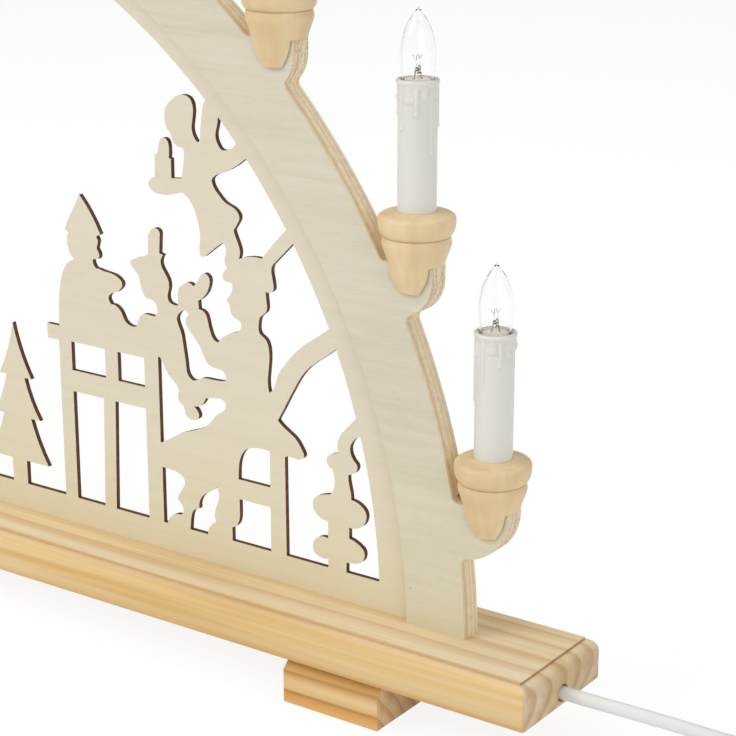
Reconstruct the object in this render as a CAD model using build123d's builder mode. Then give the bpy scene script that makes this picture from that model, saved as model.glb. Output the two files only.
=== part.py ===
from build123d import *
from math import cos, sin, sqrt, radians, pi, hypot
import os

os.makedirs("parts", exist_ok=True)

# Candle arch. X runs along the board with the cord at +X, the front faces -Y, Z is up.
# The origin is on the table, under the middle of the board. Millimetres throughout.

# Clearances
seat_gap = 0.1
thread_gap = 0.05
glue_gap = 0.3
overrun = 2.0

# Board
board_overhang = 38.6
board_depth = 54.0
board_height = 16.5
plateau_inset = 4.2
plateau_step = 0.9
shoulder_radius = 4.6
board_corner_radius = 1.5
board_edge_radius = 0.6

# Feet
foot_height = 19.0
foot_length = 42.5
foot_inset = 84.4
foot_setback = 2.5
foot_bevel_depth = 6.0
foot_bevel_height = 5.6
foot_screw_recess = 2.2

# Arch: a front plate and a thicker rear plate, glued face to face
arch_inner_radius = 267.0
arch_band = 25.0
arch_centre_drop = 6.5
front_ply = 3.4
rear_ply = 5.6
tenon_width = 8.0
tenon_height = 9.0

# Scene panel, let into a rebate of the rear plate
panel_thickness = 2.0
panel_rim = 14.5
panel_centre_rise = 1.3
scene_share = 0.955
panel_lap = 7.0

# Wire groove in the rear plate
groove_width = 4.4
groove_depth = 3.4
groove_wall = 1.2
feed_wire_diameter = 1.5
pair_diameter = 2.2

# Candles on a circle about the arch's centre, and the angles of the right half's from the ground
candle_count = 10
candle_offset = 15.6
candle_angles_right = (12.88, 29.74, 47.35, 64.4, 81.5)

# Cup, measured from its bottom
cup_height = 29.1
cup_waist_height = 20.4
cup_slot_height = 10.3
cup_slot_gap = 0.7
cup_ring_diameter = 27.6
cup_bead_diameter = 24.7
cup_waist_diameter = 23.8
cup_crest_diameter = 22.0
cup_crest_drop = 0.85
cup_foot_diameter = 14.4
cup_foot_round = 1.7
cup_foot_arc = 70.0
cup_bore_depth = 8.0
wire_hole_diameter = 4.0

# Arms that carry the cups
arm_reach = 9.2
arm_back = 16.0
arm_side = 5.0
arm_round = 14.0
lowest_arm_round = 19.5
lowest_arm_side = 1.0
notch_radius = 2.6
corner_share = 0.45

# Candle sleeve
sleeve_diameter = 13.8
sleeve_bore = 12.0
sleeve_exposed = 46.0
sleeve_rim_diameter = 15.2
sleeve_rim_height = 3.2
sleeve_mouth_diameter = 12.6
sleeve_mouth_depth = 1.5

# Socket and bulb
socket_diameter = 11.8
socket_drop = 2.8
socket_length = 18.0
bulb_height = 24.3
bulb_diameter = 12.4
bulb_neck_diameter = 9.0
bulb_wall = 0.5
cap_diameter = 9.5
cap_length = 12.0
cap_tip_diameter = 4.4
cap_tip_length = 1.6

# Cord entry and the pocket under the board
cord_hole_diameter = 7.0
cord_hole_floor = 1.1
cord_diameter = 5.0
pocket_length = 42.0
pocket_width = 13.0
pocket_depth = 10.5
pocket_end_wall = 16.0
cover_thickness = 1.8
cover_lap = 7.0
clamp_width = 7.0
clamp_span = 12.6
clamp_height = 8.3
clamp_screw_length = 11.5
clamp_screw_diameter = 1.6

# Screws
foot_screw_length = 26.0
foot_screw_diameter = 3.5
small_screw_length = 9.0
small_screw_diameter = 2.2
head_diameter_share = 2.0

# Coil of the cord
coil_outer_radius = 36.0
coil_pitch = 5.8
coil_layer_rise = 5.6
coil_turns_each_way = 3.25
tie_width = 8.0
tie_thickness = 0.9
tie_gap = 0.6

# Plug with two round pins
plug_length = 36.0
plug_width = 26.4
plug_thickness = 13.7
plug_face_length = 14.0
relief_length = 26.0
relief_front_diameter = 9.0
relief_rear_diameter = 6.2
pin_diameter = 4.0
pin_length = 19.0
pin_spacing = 18.6

# Places worked out from the sizes above
board_top = foot_height + board_height
arch_centre_z = board_top - arch_centre_drop
arch_outer_radius = arch_inner_radius + arch_band
board_end_x = arch_outer_radius + board_overhang
board_length = 2 * board_end_x
foot_centre_x = board_end_x - foot_inset
candle_circle_radius = arch_outer_radius + candle_offset
panel_opening_radius = arch_inner_radius - panel_rim
scene_size = arch_inner_radius * scene_share
arch_thickness = front_ply + rear_ply
arch_front_y = -arch_thickness / 2
joint_y = arch_front_y + front_ply
arch_back_y = arch_thickness / 2
panel_back_y = joint_y + panel_thickness
panel_outer_radius = arch_inner_radius + panel_lap
panel_centre_z = board_top + panel_centre_rise
groove_inner_radius = panel_outer_radius + groove_wall
groove_outer_radius = groove_inner_radius + groove_width
groove_mid_radius = (groove_inner_radius + groove_outer_radius) / 2
wire_y = joint_y + groove_depth / 2
tenon_inner_x = groove_outer_radius + groove_wall
cord_z = foot_height + cord_hole_floor + cord_hole_diameter / 2
candle_angles = [*candle_angles_right, *(180 - angle for angle in reversed(candle_angles_right))]

candle_places = []
for number in range(candle_count):
    angle = radians(candle_angles[number])
    waist_z = arch_centre_z + candle_circle_radius * sin(angle)
    candle_places.append((candle_circle_radius * cos(angle), waist_z - cup_waist_height))

sleeve_base_z = cup_height - cup_bore_depth
sleeve_length = cup_bore_depth + sleeve_exposed
sleeve_top_z = sleeve_base_z + sleeve_length
socket_top_z = sleeve_top_z - socket_drop
socket_base_z = socket_top_z - socket_length
cap_top_z = socket_top_z
cap_base_z = cap_top_z - cap_length


def save(piece, name):
    """Label a finished piece and write it under its name."""
    piece.label = name
    export_step(piece, f"parts/{name}.step")


def screw(length, diameter, head_top):
    """A countersunk screw that points up, with its head's flat face at head_top."""
    head_radius = diameter * head_diameter_share / 2
    head_height = head_radius - diameter / 2
    with BuildPart() as made:
        with BuildSketch(Plane.XY.offset(head_top)):
            Circle(head_radius)
        extrude(amount=head_height, taper=45)
        with BuildSketch(Plane.XY.offset(head_top)):
            Circle(diameter / 2)
        extrude(amount=length)
    return made.part


def screw_hole(length, diameter, head_top):
    """The space that one screw takes up, with its clearance, open below the head."""
    head_radius = diameter * head_diameter_share / 2 + seat_gap
    head_height = head_radius - diameter / 2 - seat_gap
    with BuildPart() as made:
        with BuildSketch(Plane.XY.offset(head_top)):
            Circle(head_radius)
        extrude(amount=head_height, taper=45)
        with BuildSketch(Plane.XY.offset(head_top)):
            Circle(diameter / 2 + seat_gap)
        extrude(amount=length + seat_gap)
        with BuildSketch(Plane.XY.offset(head_top - overrun)):
            Circle(head_radius)
        extrude(amount=overrun)
    return made.part


def placed(shape, places):
    """Copies of one shape at several places."""
    return [shape.moved(Location(place)) for place in places]


# Screw places
foot_screw_offset = board_depth / 4
foot_screw_places = []
for side in (-1, 1):
    for row in (-1, 1):
        foot_screw_places.append((side * foot_centre_x, row * foot_screw_offset, 0))
pocket_inner_x = board_end_x - pocket_end_wall - pocket_length
pocket_outer_x = board_end_x - pocket_end_wall
pocket_mid_x = (pocket_inner_x + pocket_outer_x) / 2
cover_length = pocket_length + cover_lap
cover_width = pocket_width + 2 * cover_lap
cover_screw_places = []
for side in (-1, 1):
    for row in (-1, 1):
        x = pocket_mid_x + side * pocket_length / 4
        y = row * (pocket_width + cover_lap) / 2
        cover_screw_places.append((x, y, 0))
clamp_x = pocket_outer_x - clamp_width
pocket_roof_z = foot_height + pocket_depth
clamp_screw_offset = (cord_diameter + clamp_span) / 4
clamp_screw_places = [(clamp_x, row * clamp_screw_offset, 0) for row in (-1, 1)]
foot_screw_hole = screw_hole(foot_screw_length, foot_screw_diameter, foot_screw_recess)
cover_screw_head_z = foot_height + seat_gap
cover_screw_hole = screw_hole(small_screw_length, small_screw_diameter, cover_screw_head_z)
clamp_base_z = pocket_roof_z - clamp_height
clamp_screw_hole = screw_hole(clamp_screw_length, clamp_screw_diameter, clamp_base_z)

# Board with its stepped and rounded top
with BuildPart() as base_board:
    with BuildSketch(Plane.XY.offset(foot_height)):
        Rectangle(board_length, board_depth)
    extrude(amount=board_height - plateau_step)
    fillet(base_board.edges().filter_by(Axis.Z), radius=board_corner_radius)
    fillet(base_board.faces().sort_by(Axis.Z)[-1].edges(), radius=shoulder_radius)
    fillet(base_board.faces().sort_by(Axis.Z)[0].edges(), radius=board_edge_radius)
    with BuildSketch(Plane.XY.offset(board_top - shoulder_radius)):
        Rectangle(board_length - 2 * plateau_inset, board_depth - 2 * plateau_inset)
    extrude(amount=shoulder_radius)
    # Mortises for the rear plate's tenons
    for side in (-1, 1):
        with BuildSketch(Plane.XY.offset(board_top)):
            with Locations((side * (tenon_inner_x + tenon_width / 2), (joint_y + arch_back_y) / 2)):
                Rectangle(tenon_width + 2 * seat_gap, rear_ply + 2 * seat_gap)
        extrude(amount=-tenon_height - seat_gap, mode=Mode.SUBTRACT)
    # Pocket under the right end, with the rebate for its cover
    with BuildSketch(Plane.XY.offset(foot_height)):
        with Locations((pocket_mid_x, 0)):
            Rectangle(pocket_length, pocket_width)
    extrude(amount=pocket_depth, mode=Mode.SUBTRACT)
    with BuildSketch(Plane.XY.offset(foot_height)):
        with Locations((pocket_mid_x, 0)):
            Rectangle(cover_length + 2 * seat_gap, cover_width + 2 * seat_gap)
    extrude(amount=cover_thickness + seat_gap, mode=Mode.SUBTRACT)
    # Bore for the cord, and the hole up to the arch's wire groove
    with BuildSketch(Plane.YZ.offset(board_end_x)):
        with Locations((0, cord_z)):
            Circle(cord_hole_diameter / 2)
    extrude(amount=-pocket_end_wall - overrun, mode=Mode.SUBTRACT)
    with BuildSketch(Plane.XY.offset(board_top)):
        with Locations((groove_mid_radius, wire_y)):
            Circle(groove_width / 2)
    extrude(amount=-board_height + pocket_depth - overrun, mode=Mode.SUBTRACT)
    add(placed(foot_screw_hole, foot_screw_places), mode=Mode.SUBTRACT)
    add(placed(cover_screw_hole, cover_screw_places), mode=Mode.SUBTRACT)
    add(placed(clamp_screw_hole, clamp_screw_places), mode=Mode.SUBTRACT)
save(base_board.part, "base_board")

with BuildPart() as pocket_cover:
    with BuildSketch(Plane.XY.offset(foot_height + seat_gap)):
        with Locations((pocket_mid_x, 0)):
            Rectangle(cover_length, cover_width)
    extrude(amount=cover_thickness)
    add(placed(cover_screw_hole, cover_screw_places), mode=Mode.SUBTRACT)
save(pocket_cover.part, "pocket_cover")

# Cord clamp: a bridge screwed to the pocket's roof, over the cord
with BuildPart() as cord_clamp:
    with BuildSketch(Plane.XY.offset(clamp_base_z)):
        with Locations((clamp_x, 0)):
            Rectangle(clamp_width, clamp_span)
    extrude(amount=clamp_height)
    with BuildSketch(Plane.YZ.offset(clamp_x - clamp_width)):
        with Locations((0, cord_z)):
            Circle(cord_diameter / 2 + seat_gap)
    extrude(amount=2 * clamp_width, mode=Mode.SUBTRACT)
    add(placed(clamp_screw_hole, clamp_screw_places), mode=Mode.SUBTRACT)
save(cord_clamp.part, "cord_clamp")

# Feet: blocks with a bevel along the top of the front and the back
for side, name in ((-1, "foot_left"), (1, "foot_right")):
    half_depth = board_depth / 2 - foot_setback
    bevel_start_z = foot_height - foot_bevel_height
    with BuildPart() as foot:
        with BuildSketch(Plane.YZ.offset(side * foot_centre_x - foot_length / 2)):
            with BuildLine():
                Polyline(
                    (-half_depth, 0),
                    (half_depth, 0),
                    (half_depth, bevel_start_z),
                    (half_depth - foot_bevel_depth, foot_height),
                    (-half_depth + foot_bevel_depth, foot_height),
                    (-half_depth, bevel_start_z),
                    close=True,
                )
            make_face()
        extrude(amount=foot_length)
        add(placed(foot_screw_hole, foot_screw_places), mode=Mode.SUBTRACT)
    save(foot.part, name)

foot_screws = Compound(
    children=placed(screw(foot_screw_length, foot_screw_diameter, foot_screw_recess), foot_screw_places)
)
save(foot_screws, "foot_screws")
cover_screws = Compound(
    children=placed(screw(small_screw_length, small_screw_diameter, cover_screw_head_z), cover_screw_places)
)
save(cover_screws, "cover_screws")
clamp_screws = Compound(
    children=placed(screw(clamp_screw_length, clamp_screw_diameter, clamp_base_z), clamp_screw_places)
)
save(clamp_screws, "clamp_screws")


def half_disc(radius):
    """A disc about the arch's centre, cut off at the board's top."""
    with BuildSketch() as made:
        with Locations((0, arch_centre_z)):
            Circle(radius)
        with Locations((0, board_top)):
            Rectangle(
                2 * radius + overrun, radius + overrun,
                align=(Align.CENTER, Align.MIN), mode=Mode.INTERSECT,
            )
    return made.sketch


def band(inner_radius, outer_radius):
    """A half ring about the arch's centre, standing on the board's top."""
    with BuildSketch() as made:
        add(half_disc(outer_radius))
        add(half_disc(inner_radius), mode=Mode.SUBTRACT)
    return made.sketch


def arm_top(place):
    """The arm's top edge, where the cup's slot comes down on it."""
    return place[1] + cup_slot_height - seat_gap


def arch_outline():
    """The arch with its ten arms, as both plates share it."""
    with BuildSketch() as made:
        add(band(arch_inner_radius, arch_outer_radius))
        for number, place in enumerate(candle_places):
            side = 1 if place[0] > 0 else -1
            lowest = number in (0, candle_count - 1)
            round_radius = lowest_arm_round if lowest else arm_round
            straight = lowest_arm_side if lowest else arm_side
            end_x = place[0] + side * arm_reach
            top_z = arm_top(place)
            with BuildLine():
                corner = (end_x, top_z - straight)
                inner = (end_x - side * 2 * round_radius, top_z - straight)
                back = (place[0] - side * arm_back, top_z - straight)
                Line((end_x, top_z), corner)
                ThreePointArc(
                    corner,
                    (end_x - side * round_radius, top_z - straight - round_radius),
                    inner,
                )
                Polyline(inner, back, (back[0], top_z), (end_x, top_z))
            make_face()
        corners = []
        for vertex in made.vertices():
            on_edge = abs(hypot(vertex.X, vertex.Y - arch_centre_z) - arch_outer_radius) < seat_gap
            if on_edge and vertex.Y > board_top + notch_radius:
                corners.append(vertex.center())
        for spot in corners:
            reach = min(edge.length for edge in made.edges() if edge.distance_to(spot) < thread_gap)
            corner = made.vertices().sort_by_distance(spot)[0]
            fillet(corner, radius=min(notch_radius, reach * corner_share))
    return made.sketch


plates_outline = arch_outline()

with BuildPart() as front_arch:
    with BuildSketch(Plane.XZ.offset(-joint_y)):
        add(plates_outline)
    extrude(amount=front_ply)
save(front_arch.part, "front_arch")

with BuildPart() as rear_arch:
    with BuildSketch(Plane.XZ.offset(-arch_back_y)):
        add(plates_outline)
        for side in (-1, 1):
            with Locations((side * (tenon_inner_x + tenon_width / 2), board_top)):
                Rectangle(tenon_width, tenon_height, align=(Align.CENTER, Align.MAX))
    extrude(amount=rear_ply)
    # Rebate for the scene panel
    with BuildSketch(Plane.XZ.offset(-joint_y)):
        add(band(arch_inner_radius - overrun, panel_outer_radius + glue_gap))
    extrude(amount=-panel_thickness, mode=Mode.SUBTRACT)
    # Groove for the wires, with a branch to each cup
    with BuildSketch(Plane.XZ.offset(-joint_y)):
        add(band(groove_inner_radius, groove_outer_radius))
        for number, place in enumerate(candle_places):
            angle = radians(candle_angles[number])
            start = (groove_mid_radius * cos(angle), arch_centre_z + groove_mid_radius * sin(angle))
            bend = (place[0], arm_top(place) - groove_width)
            with BuildLine() as branch:
                Polyline(start, bend, (place[0], arm_top(place) + groove_width))
            trace(branch.edges(), line_width=groove_width)
    extrude(amount=-groove_depth, mode=Mode.SUBTRACT)
save(rear_arch.part, "rear_arch")


def scene_points(shares):
    """Outline points: shares of the scene's size, measured up from the board's top."""
    return [(x * scene_size, board_top + z * scene_size) for x, z in shares]


def cut_outline(start_share, *runs):
    """A closed outline. A run of one point is a straight line, a longer run is a smooth curve."""
    with BuildSketch() as made:
        with BuildLine():
            here = start_share
            for run in runs:
                points = scene_points([here, *run])
                if len(run) == 1:
                    Line(*points)
                else:
                    Spline(*points)
                here = run[-1]
            if here != start_share:
                Line(*scene_points([here, start_share]))
        make_face()
    return made.sketch


# Right half of the scene's cut-outs. Points beyond the rim's circle end at the rim.
# Above and between the figures, from the middle of the arch to the angel, and down to the floor
open_sky = cut_outline(
    (0, 0.756),
    [(0, 1.1)],
    [(0.72, 0.80)],
    [(0.680, 0.712)],
    # angel's wing, head and raised candle
    [(0.676, 0.690), (0.673, 0.661)],
    [(0.669, 0.657), (0.663, 0.662), (0.658, 0.676), (0.661, 0.696), (0.655, 0.720), (0.638, 0.723),
     (0.620, 0.713), (0.609, 0.700), (0.607, 0.686), (0.611, 0.671), (0.618, 0.663), (0.622, 0.652),
     (0.632, 0.646), (0.641, 0.645)],
    [(0.642, 0.630), (0.639, 0.613), (0.636, 0.599)],
    [(0.617, 0.597)],
    [(0.617, 0.626)],
    [(0.613, 0.627)],
    [(0.614, 0.640), (0.608, 0.655), (0.600, 0.655), (0.594, 0.642), (0.590, 0.630)],
    [(0.586, 0.628)],
    [(0.585, 0.594)],
    [(0.577, 0.591), (0.572, 0.583), (0.577, 0.575), (0.592, 0.570), (0.610, 0.571), (0.637, 0.578)],
    # angel's gown, and the curl under it
    [(0.649, 0.570), (0.659, 0.556), (0.666, 0.535), (0.669, 0.516), (0.667, 0.496), (0.670, 0.486),
     (0.683, 0.492), (0.697, 0.503), (0.711, 0.513)],
    [(0.717, 0.504), (0.714, 0.488), (0.719, 0.476)],
    # carver's hat, face and shoulder
    [(0.711, 0.467), (0.710, 0.459), (0.719, 0.455), (0.727, 0.454)],
    [(0.727, 0.444), (0.722, 0.434), (0.716, 0.427), (0.721, 0.421), (0.723, 0.412), (0.729, 0.403),
     (0.739, 0.399), (0.738, 0.382)],
    [(0.721, 0.376), (0.710, 0.370), (0.699, 0.359)],
    # carver's raised fist with a small carving
    [(0.691, 0.361), (0.684, 0.372), (0.680, 0.386), (0.676, 0.398), (0.663, 0.404)],
    [(0.662, 0.417)],
    [(0.676, 0.428), (0.684, 0.444), (0.683, 0.457), (0.675, 0.461), (0.663, 0.449), (0.653, 0.438)],
    [(0.644, 0.442), (0.632, 0.437), (0.624, 0.428), (0.623, 0.415), (0.622, 0.403)],
    # small figure with a tall cap
    [(0.613, 0.403), (0.605, 0.407), (0.603, 0.415), (0.606, 0.428), (0.605, 0.439), (0.599, 0.449),
     (0.593, 0.458), (0.596, 0.477)],
    [(0.589, 0.479)],
    [(0.591, 0.508)],
    [(0.589, 0.514), (0.579, 0.516), (0.572, 0.510), (0.568, 0.504)],
    [(0.567, 0.477)],
    [(0.549, 0.466), (0.531, 0.456), (0.540, 0.444), (0.546, 0.438), (0.549, 0.428), (0.553, 0.414),
     (0.560, 0.405), (0.575, 0.402), (0.580, 0.396), (0.580, 0.382), (0.575, 0.378)],
    [(0.562, 0.379), (0.549, 0.376), (0.543, 0.367), (0.539, 0.356)],
    [(0.527, 0.355), (0.516, 0.361), (0.510, 0.372), (0.501, 0.381), (0.489, 0.383)],
    # second small figure, its arm held out
    [(0.484, 0.392), (0.493, 0.402)],
    [(0.505, 0.407), (0.513, 0.419), (0.503, 0.429), (0.484, 0.433), (0.466, 0.436)],
    [(0.456, 0.441), (0.455, 0.449), (0.465, 0.451), (0.468, 0.460), (0.464, 0.467), (0.466, 0.476),
     (0.463, 0.486)],
    [(0.472, 0.491)],
    [(0.455, 0.520), (0.432, 0.548)],
    [(0.418, 0.524), (0.404, 0.500), (0.399, 0.489)],
    [(0.406, 0.485)],
    [(0.403, 0.468), (0.408, 0.452), (0.417, 0.443)],
    [(0.400, 0.434), (0.388, 0.412), (0.380, 0.372), (0.378, 0.330)],
    # end of the long bench
    [(0.352, 0.330)],
    [(0.352, 0.306)],
    [(0.376, 0.306)],
    [(0.376, 0.045)],
    # fir tree beside the church
    [(0.292, 0.045)],
    [(0.292, 0.085)],
    [(0.340, 0.085)],
    [(0.322, 0.118), (0.306, 0.160)],
    [(0.326, 0.160)],
    [(0.308, 0.192), (0.296, 0.228)],
    [(0.311, 0.228)],
    [(0.292, 0.266), (0.276, 0.318)],
    [(0.260, 0.266), (0.241, 0.228)],
    [(0.256, 0.228)],
    [(0.244, 0.192), (0.226, 0.160)],
    [(0.246, 0.160)],
    [(0.230, 0.118), (0.212, 0.085)],
    [(0.260, 0.085)],
    [(0.260, 0.045)],
    # village church: nave, tower and spire
    [(0.196, 0.045)],
    [(0.196, 0.250)],
    [(0.212, 0.250)],
    [(0.168, 0.352)],
    [(0.080, 0.352)],
    [(0.080, 0.490)],
    [(0.090, 0.490)],
    [(0.070, 0.540), (0.048, 0.573)],
    [(0.035, 0.600), (0.016, 0.720)],
    [(0.020, 0.735), (0.010, 0.752), (0, 0.756)],
)

angel_arm_gap = cut_outline(
    (0.73, 0.72),
    [(0.750, 0.690)],
    [(0.742, 0.6655)],
    [(0.729, 0.654), (0.721, 0.651), (0.713, 0.651), (0.706, 0.658), (0.702, 0.669), (0.704, 0.681),
     (0.707, 0.697)],
)

gap_over_hat = cut_outline(
    (0.80, 0.66),
    [(0.759, 0.645)],
    [(0.743, 0.633), (0.730, 0.625), (0.714, 0.618), (0.699, 0.611), (0.693, 0.604)],
    [(0.696, 0.595), (0.706, 0.583), (0.719, 0.573), (0.736, 0.566), (0.743, 0.556), (0.739, 0.545),
     (0.732, 0.535)],
    [(0.739, 0.517), (0.743, 0.503), (0.740, 0.493)],
    [(0.759, 0.499), (0.783, 0.500)],
    [(0.804, 0.525)],
    [(0.860, 0.582)],
)

gap_behind_back = cut_outline(
    (0.90, 0.58),
    [(0.840, 0.531)],
    [(0.805, 0.496)],
    [(0.800, 0.487), (0.802, 0.471), (0.803, 0.456)],
    [(0.797, 0.451), (0.789, 0.451)],
    [(0.790, 0.438), (0.789, 0.421), (0.779, 0.412), (0.775, 0.400), (0.777, 0.386), (0.787, 0.379),
     (0.793, 0.366), (0.793, 0.340), (0.793, 0.298)],
    [(0.801, 0.306), (0.808, 0.325), (0.824, 0.349), (0.847, 0.374), (0.868, 0.390), (0.900, 0.413)],
    [(0.98, 0.44)],
)

gap_left_of_tree = cut_outline(
    (0.99, 0.42),
    [(0.914, 0.386)],
    [(0.890, 0.368), (0.862, 0.346), (0.843, 0.320), (0.826, 0.290), (0.808, 0.258)],
    [(0.824, 0.246), (0.841, 0.235), (0.851, 0.222), (0.855, 0.211), (0.848, 0.205), (0.836, 0.205),
     (0.820, 0.203)],
    [(0.821, 0.046)],
    [(0.898, 0.046)],
    [(0.898, 0.060)],
    [(0.884, 0.059), (0.872, 0.066), (0.871, 0.080), (0.880, 0.090), (0.898, 0.092)],
    [(0.898, 0.119)],
    [(0.884, 0.122), (0.872, 0.133), (0.872, 0.148), (0.883, 0.157), (0.902, 0.162)],
    [(0.909, 0.174), (0.910, 0.190), (0.906, 0.203)],
    [(0.898, 0.208), (0.897, 0.219), (0.905, 0.225), (0.917, 0.230)],
    [(0.918, 0.252), (0.928, 0.267), (0.948, 0.288)],
    [(0.985, 0.310)],
)

gap_right_of_tree = cut_outline(
    (1.02, 0.27),
    [(0.956, 0.262)],
    [(0.943, 0.253), (0.938, 0.240), (0.941, 0.229), (0.949, 0.220)],
    [(0.950, 0.210), (0.943, 0.203), (0.935, 0.200)],
    [(0.936, 0.186), (0.939, 0.173), (0.940, 0.162)],
    [(0.955, 0.158), (0.966, 0.147), (0.964, 0.131), (0.953, 0.121), (0.936, 0.118)],
    [(0.936, 0.101)],
    [(0.953, 0.095), (0.963, 0.085), (0.960, 0.071), (0.948, 0.064), (0.931, 0.062)],
    [(0.931, 0.046)],
    [(1.03, 0.046)],
)

gap_between_figures = cut_outline(
    (0.638, 0.398),
    [(0.626, 0.393), (0.620, 0.383), (0.626, 0.365), (0.631, 0.340), (0.635, 0.315), (0.638, 0.298),
     (0.648, 0.290), (0.664, 0.296), (0.683, 0.298), (0.709, 0.300)],
    [(0.712, 0.306), (0.708, 0.314), (0.694, 0.317), (0.680, 0.320), (0.672, 0.329), (0.666, 0.341),
     (0.655, 0.356), (0.644, 0.367), (0.637, 0.377), (0.643, 0.392)],
)

gap_beside_bench = cut_outline(
    (0.580, 0.315),
    [(0.580, 0.176)],
    [(0.598, 0.186), (0.622, 0.200), (0.650, 0.211), (0.676, 0.225), (0.695, 0.245), (0.709, 0.256),
     (0.710, 0.265), (0.702, 0.270), (0.686, 0.269), (0.672, 0.266)],
    [(0.661, 0.252), (0.646, 0.249)],
    [(0.655, 0.243), (0.658, 0.234), (0.651, 0.227), (0.639, 0.227), (0.631, 0.234), (0.629, 0.243),
     (0.618, 0.254), (0.619, 0.270), (0.606, 0.284), (0.594, 0.299), (0.584, 0.315)],
)

gap_below_knee = cut_outline(
    (0.582, 0.137),
    [(0.600, 0.136), (0.618, 0.132), (0.626, 0.124), (0.620, 0.107), (0.612, 0.090), (0.621, 0.079),
     (0.621, 0.069), (0.613, 0.065)],
    [(0.602, 0.062), (0.594, 0.055), (0.589, 0.045)],
    [(0.582, 0.045)],
)

gap_between_legs = cut_outline(
    (0.690, 0.127),
    [(0.676, 0.117), (0.662, 0.107), (0.655, 0.096), (0.654, 0.084)],
    [(0.641, 0.076), (0.637, 0.064), (0.635, 0.045)],
    [(0.670, 0.045)],
    [(0.672, 0.055), (0.679, 0.064), (0.687, 0.069)],
    [(0.684, 0.081), (0.690, 0.100), (0.690, 0.127)],
)

stool_upper_window = cut_outline(
    (0.732, 0.149),
    [(0.733, 0.170), (0.738, 0.188), (0.751, 0.202)],
    [(0.773, 0.207), (0.792, 0.206)],
    [(0.792, 0.149)],
)

stool_lower_window = cut_outline(
    (0.733, 0.117),
    [(0.792, 0.117)],
    [(0.792, 0.046)],
    [(0.718, 0.046)],
    [(0.718, 0.068)],
    [(0.729, 0.076), (0.733, 0.090), (0.733, 0.117)],
)

bench_upper_window = cut_outline((0.498, 0.308), [(0.552, 0.308)], [(0.552, 0.261)], [(0.498, 0.261)])
bench_lower_window = cut_outline((0.490, 0.226), [(0.552, 0.226)], [(0.552, 0.045)], [(0.484, 0.045)])
bench_end_upper_window = cut_outline((0.402, 0.308), [(0.472, 0.308)], [(0.472, 0.261)], [(0.402, 0.261)])
bench_end_lower_window = cut_outline((0.402, 0.226), [(0.466, 0.226)], [(0.460, 0.045)], [(0.402, 0.045)])
nave_window = cut_outline(
    (0.112, 0.110), [(0.112, 0.190)], [(0.117, 0.212), (0.136, 0.224), (0.155, 0.212), (0.160, 0.190)],
    [(0.160, 0.110)],
)
half_tower_window = cut_outline(
    (0, 0.380), [(0, 0.462)], [(0.014, 0.456), (0.026, 0.436)], [(0.026, 0.380)],
)
half_door = cut_outline(
    (0, 0.045), [(0, 0.200)], [(0.024, 0.190), (0.042, 0.160)], [(0.042, 0.045)],
)

scene_cuts = [
    open_sky, angel_arm_gap, gap_over_hat, gap_behind_back, gap_left_of_tree, gap_right_of_tree,
    gap_between_figures, gap_beside_bench, gap_below_knee, gap_between_legs, stool_upper_window,
    stool_lower_window, bench_upper_window, bench_lower_window, bench_end_upper_window,
    bench_end_lower_window, nave_window, half_tower_window, half_door,
]

# Star that hangs from the rim over the spire
star_points = 8
star_radius = 15.0
star_waist_radius = 6.5
star_drop = 32.0
star_link_width = 3.0
star_z = panel_centre_z + panel_opening_radius - star_drop

with BuildSketch() as star:
    with BuildLine():
        tips = []
        for number in range(2 * star_points):
            radius = star_radius if number % 2 == 0 else star_waist_radius
            angle = radians(90 + 180 / star_points * number)
            tips.append((radius * cos(angle), star_z + radius * sin(angle)))
        Polyline(*tips, close=True)
    make_face()
    with Locations((0, star_z)):
        Rectangle(star_link_width, star_drop + overrun, align=(Align.CENTER, Align.MIN))

with BuildSketch() as scene_openings:
    for cut in scene_cuts:
        add(cut)
        add(mirror(cut, about=Plane.YZ, mode=Mode.PRIVATE))
    with Locations((0, panel_centre_z)):
        Circle(panel_opening_radius, mode=Mode.INTERSECT)
    add(star.sketch, mode=Mode.SUBTRACT)

with BuildPart() as scene_panel:
    with BuildSketch(Plane.XZ.offset(-panel_back_y)):
        add(half_disc(panel_outer_radius))
        add(scene_openings.sketch, mode=Mode.SUBTRACT)
    extrude(amount=panel_thickness)
save(scene_panel.part, "scene_panel")


def at_candle(piece, place):
    """A candle's piece, moved from the origin to its cup's place."""
    return piece.moved(Location((place[0], 0, place[1])))


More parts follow.
